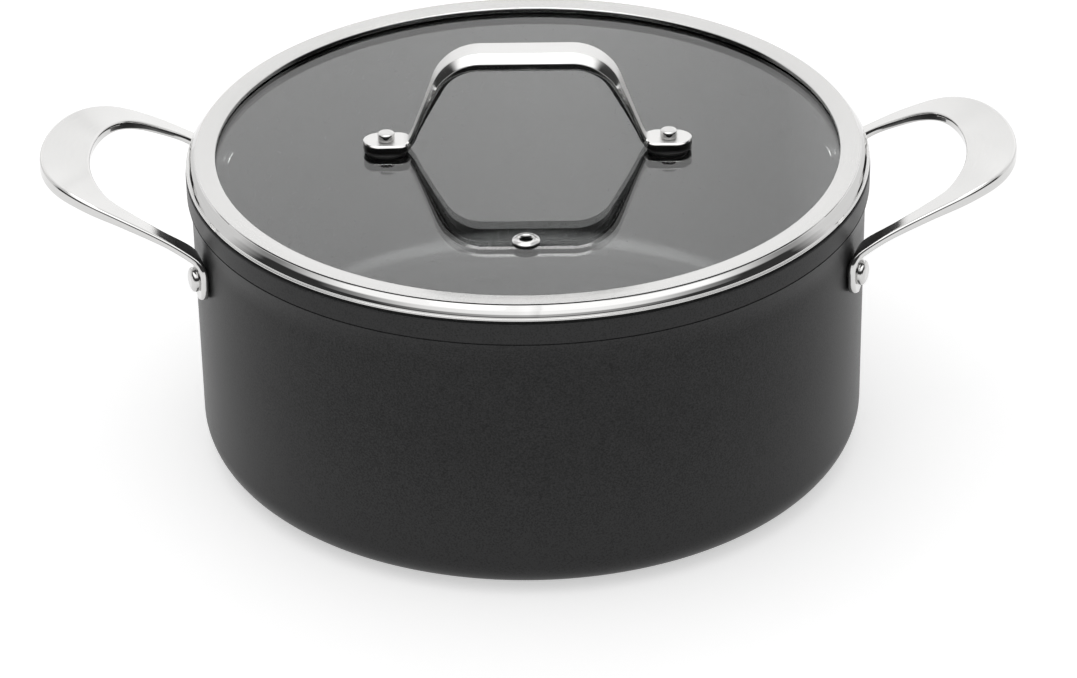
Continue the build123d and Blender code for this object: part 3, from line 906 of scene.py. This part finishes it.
def lid_arch():
    """Arched bar on two round-ended feet. Its middle line is a polyline in the XZ plane with round bends;
    width, depth, upper and lower bevels are splines over the run from a foot's end. A foot's outer end is a
    circle, and an ellipse narrows its inner end to the neck."""
    other_half = [(-x, z, bend) for x, z, bend in ARCH_HALF[::-1]]
    bent = profile([*ARCH_HALF, *other_half], closed=False, steps=41)
    bent_run = run_length(bent)
    run = np.linspace(0, bent_run[-1], ARCH_STATIONS)
    mid = np.stack([np.interp(run, bent_run, bent[:, 0]), np.interp(run, bent_run, bent[:, 1])], 1)
    run = np.minimum(run, bent_run[-1] - run)
    fine = smooth_curve(ARCH_SIZES, ARCH_SAMPLES)
    width, depth, cut, low = (np.interp(run, fine[:, 0], size) for size in fine[:, 1:].T)
    outer_end = FOOT_RADIUS * quarter_round(fade_in(run, 0, FOOT_RADIUS))
    narrowing = quarter_round(1 - fade_in(run, NECK_START, NECK_END))
    inner_end = width / 2 + (FOOT_RADIUS - width / 2) * narrowing
    half = np.maximum(np.where(run < FOOT_MIDDLE, outer_end, inner_end), ARCH_LEAST_HALF)
    step = unit(np.gradient(mid, axis=0))
    x, z = (mid + np.stack([step[:, 1], -step[:, 0]], 1) * depth[:, None] / 2).T
    cut = np.minimum(cut, BEVEL_SHARE * half)
    low = np.minimum(low, BEVEL_SHARE * half)
    flat, deep, top = half - cut, depth - low, np.zeros_like(half)
    corners = np.stack([
        np.stack([-flat, top], 1),
        np.stack([flat, top], 1),
        np.stack([half, cut], 1),
        np.stack([half, deep], 1),
        np.stack([half - low, depth], 1),
        np.stack([low - half, depth], 1),
        np.stack([-half, deep], 1),
        np.stack([-half, cut], 1),
    ], 1)
    outline = soften(corners, ARCH_ROUND, steps=5, support=0.12)
    down = outline[:, :, 1]
    # Painted shade: the underside, and on the feet the polished sides as a painted reflection of the dark
    # glass, take the near-black colour
    raw_and_shade = np.where(run < SHADED_SIDE_END, cut, deep)[:, None]
    marks = {"satin": 1 - fade_in(down, *ARCH_SATIN), "under": fade_in(down, raw_and_shade, raw_and_shade + SHADE_FADE)}
    piece = strap("lid_arch", np.stack([x, -half, z], 1), np.stack([x, half, z], 1), outline, marks)
    fit(piece, "lid", "handle_steel", ARCH, "lid_handle")


def lid_rivet(name, side, node):
    """A rivet turned about an upright line through foot and glass: low button above, peened tail below."""
    line = rivet_line(
        tail=(3.6, 3.8), tail_levels=(LID_RIVET_FOOT, WASHER_FOOT), tail_round=0.6, shank=2.1,
        head=(3.1, 3.15, 3.1, 2.0), head_levels=(FOOT_TOP, 120.0, LID_RIVET_EDGE, LID_RIVET_TOP),
        head_rounds=(0.2, 0.6, 1.2),
    )
    piece = turned_solid(name, line, sides=64, place=Matrix.Translation((LID_RIVET_REACH * side, 0, 0)))
    fit(piece, "lid", "rivet_steel", POLISHED, node)


def vent_ferrule():
    """The outline of the steam vent's flanged tube, curled over its washer below, turned about its axis."""
    line = profile([
        (VENT_BORE, VENT_TOP - VENT_MOUTH_DROP, ROUND),
        (VENT_BORE, VENT_FOOT, EASED),
        (VENT_TUBE, VENT_FOOT, ROUND),
        (VENT_CURL, VENT_FOOT + VENT_CURL_RISE, VENT_CURL_ROUND),
        (VENT_CURL, VENT_WASHER_FOOT, CRISP),
        (VENT_TUBE, VENT_WASHER_FOOT, CRISP),
        (VENT_TUBE, VENT_SEAT, CRISP),
        (VENT_RADIUS, VENT_SEAT, VENT_EDGE_ROUND),
        (VENT_RADIUS, VENT_SEAT + VENT_FLANGE, ROUND),
        (VENT_CROWN, VENT_TOP, VENT_CROWN_ROUND),
        (VENT_MOUTH, VENT_TOP, VENT_MOUTH_ROUND),
    ], steps=7, support=0.1)
    piece = turned_ring("vent_ferrule", line, sides=72, middle=VENT_MIDDLE)
    fit(piece, "lid", "rivet_steel", POLISHED, "vent_eyelet")


rim_ring()
lid_arch()
lid_rivet("left_lid_button", -1, "left_lid_rivet")
lid_rivet("right_lid_button", 1, "right_lid_rivet")
vent_ferrule()

# The CAD nodes that are shown as they are; those not named here are silicone
FINISHES = {
    "base_plate": PLATE,
    "lid_glass": GLASS,
    "left_under_washer": POLISHED,
    "right_under_washer": POLISHED,
    "vent_washer": POLISHED,
}
for node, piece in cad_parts.items():
    if not piece.hide_render:
        piece.data.materials.clear()
        piece.data.materials.append(FINISHES.get(node, RUBBER))


# Stage, in metres

FLOOR_RADIUS = 1.2
FLOOR_SIDES = 96
FLOOR_GLOW = 0.5
FLOOR_TONE = 0.8
SKY_DIFFUSE = 0.6
DARK_TONE = 0.05
STRIP_GLOW = 6.0
# Parts of a ray's direction between which each zone of the surroundings fades in
DARK_FRONT = (0.35, 0.1)
DARK_LOW = (0.64, 0.5)
PALE_AHEAD = (-0.5, -0.75)
PALE_LOW = (0.12, 0.06)
CEILING_HIGH = (0.56, 0.72)
CEILING_FRONT = (0.05, -0.2)
STRIP_BREADTH = (0.22, 0.14)
STRIP_HIGH = (0.78, 0.84)
STRIP_BACK = (0.3, 0.4)
# The same, with the strength of the backdrop at either limit
LEFT_FALL = (-0.055, -0.01, 0.88, 0.96)
RIGHT_FALL = (0.0, 0.045, 1.0, 0.82)
RIGHT_RISE = (0.05, 0.06, 1.0, 1.2)
UPWARD_FALL = (0.4, 0.56, 1.12, 0.92)
LAMP_AIM = (0, 0, 0.1)

PICTURE_WIDTH = 1077
PICTURE_HEIGHT = 678
# The pixel that the camera's target falls on
TARGET_ACROSS = 529.98
TARGET_DOWN = 278.2
FOCAL_PIXELS = 3971.7
SENSOR_WIDTH = 36.0
CAMERA_TARGET = (0, 0, 0.060)
CAMERA_DISTANCE = 1.4915
CAMERA_TILT = math.radians(29.17)
CAMERA_ROLL = math.radians(1.04)
CAMERA_SWING = math.radians(0.9)


def seen_rays(n):
    """1 for camera, mirror and glass rays and 0 for diffuse ones, and the same for mirror rays alone."""
    rays = n.add("ShaderNodeLightPath").outputs
    seen = n.math("MAXIMUM", rays["Is Camera Ray"], rays["Is Glossy Ray"])
    return n.math("MAXIMUM", seen, rays["Is Transmission Ray"]), rays["Is Glossy Ray"]


def studio_floor():
    """A wide round floor that takes the shadow; camera, mirror and glass rays also see it glow white."""
    made, n, _ = material("studio floor")
    tree = made.node_tree
    tree.nodes.remove(tree.nodes["Principled BSDF"])
    matt = n.add("ShaderNodeBsdfDiffuse")
    matt.inputs["Color"].default_value = grey(FLOOR_TONE)
    glow = n.add("ShaderNodeEmission")
    seen, _ = seen_rays(n)
    n.join(n.times(seen, FLOOR_GLOW), glow.inputs["Strength"])
    both = n.add("ShaderNodeAddShader")
    n.join(matt.outputs[0], both.inputs[0])
    n.join(glow.outputs[0], both.inputs[1])
    n.join(both.outputs[0], tree.nodes["Material Output"].inputs["Surface"])
    angle = np.linspace(0, 2 * np.pi, FLOOR_SIDES, endpoint=False)
    edge = np.stack([np.cos(angle), np.sin(angle), np.zeros(FLOOR_SIDES)], 1) * FLOOR_RADIUS
    floor = make_piece("floor", edge / MM, [list(range(FLOOR_SIDES))])
    floor.data.materials.append(made)


def studio_sky():
    """White surroundings: full strength for camera, mirror and glass rays and less for diffuse ones. Mirror
    rays also see a brighter ceiling in front, a strip light high at the back, a backdrop whose strength
    falls off upwards and changes sideways, and darkness low down in front and at the sides, which draws the
    dark lines in polished metal."""
    world = bpy.data.worlds.new("studio")
    bpy.context.scene.world = world
    world.use_nodes = True
    n = Nodes(world.node_tree)
    shade = world.node_tree.nodes["Background"].inputs
    seen, mirrored = seen_rays(n)
    x, y, z = n.parts(n.place("Generated"))
    around = n.times(n.span(y, *DARK_FRONT), n.span(z, *DARK_LOW))
    ahead = n.times(n.span(y, *PALE_AHEAD), n.span(z, *PALE_LOW))
    dark = n.times(n.math("SUBTRACT", around, ahead, clamp=True), mirrored)
    n.join(n.blend(dark, grey(1), grey(DARK_TONE)), shade["Color"])
    ceiling = n.times(n.span(z, *CEILING_HIGH), n.span(y, *CEILING_FRONT))
    strip = n.span(n.math("ABSOLUTE", x), *STRIP_BREADTH, to_high=STRIP_GLOW)
    strip = n.times(n.times(strip, n.span(z, *STRIP_HIGH)), n.span(y, *STRIP_BACK))
    lights = n.times(n.plus(ceiling, strip), mirrored)
    fall = n.times(n.span(x, *LEFT_FALL), n.span(x, *RIGHT_FALL))
    fall = n.times(n.times(fall, n.span(x, *RIGHT_RISE)), n.span(z, *UPWARD_FALL))
    level = n.plus(n.span(seen, 0, 1, to_low=SKY_DIFFUSE), lights)
    n.join(n.times(level, n.span(mirrored, 0, 1, to_low=1.0, to_high=fall)), shade["Strength"])


def softbox(name, place, width, height, radiance):
    """An area lamp of a given brightness, facing the pot."""
    lamp = bpy.data.lights.new(name, "AREA")
    lamp.shape = "RECTANGLE"
    lamp.size = width
    lamp.size_y = height
    lamp.energy = radiance * math.pi * width * height
    box = bpy.data.objects.new(name, lamp)
    box.location = place
    box.rotation_euler = (Vector(LAMP_AIM) - Vector(place)).to_track_quat("-Z", "Y").to_euler()
    bpy.context.scene.collection.objects.link(box)


def photo_camera():
    """A long lens at the photo's angle. From a view straight at the target it is panned and dipped until
    the target falls on its own pixel, then rolled about its axis and swung round the pot, with no shift."""
    back = np.array([0, -math.cos(CAMERA_TILT), math.sin(CAMERA_TILT)])
    right = np.array([1.0, 0, 0])
    up = np.cross(back, right)
    roll_cos, roll_sin = math.cos(CAMERA_ROLL), math.sin(CAMERA_ROLL)
    off_x = TARGET_ACROSS - PICTURE_WIDTH / 2
    off_y = TARGET_DOWN - PICTURE_HEIGHT / 2
    pan = math.atan2(roll_cos * off_x - roll_sin * off_y, FOCAL_PIXELS)
    dip = math.atan2((roll_sin * off_x + roll_cos * off_y) * math.cos(pan), FOCAL_PIXELS)
    side = math.cos(pan) * right - math.sin(pan) * back
    panned = -math.cos(pan) * back - math.sin(pan) * right
    level = math.cos(dip) * up - math.sin(dip) * panned
    ahead = math.cos(dip) * panned + math.sin(dip) * up
    axes = np.stack([roll_cos * side - roll_sin * level, roll_sin * side + roll_cos * level, -ahead], 1)
    place = Matrix(axes.tolist()).to_4x4()
    place.translation = Vector(np.array(CAMERA_TARGET) + back * CAMERA_DISTANCE)
    lens = bpy.data.cameras.new("camera")
    lens.sensor_width = SENSOR_WIDTH
    lens.lens = SENSOR_WIDTH * FOCAL_PIXELS / PICTURE_WIDTH
    lens.clip_start = 0.05
    lens.clip_end = 50.0
    camera = bpy.data.objects.new("camera", lens)
    camera.matrix_world = Matrix.Rotation(CAMERA_SWING, 4, "Z") @ place
    bpy.context.scene.collection.objects.link(camera)
    bpy.context.scene.camera = camera


studio_floor()
studio_sky()
softbox("back softbox", place=(0, 1.5, 1.0), width=2.8, height=1.5, radiance=0.35)
softbox("top softbox", place=(-0.3, -0.2, 1.8), width=1.6, height=1.6, radiance=0.7)
photo_camera()
bpy.context.scene.view_settings.view_transform = "Standard"
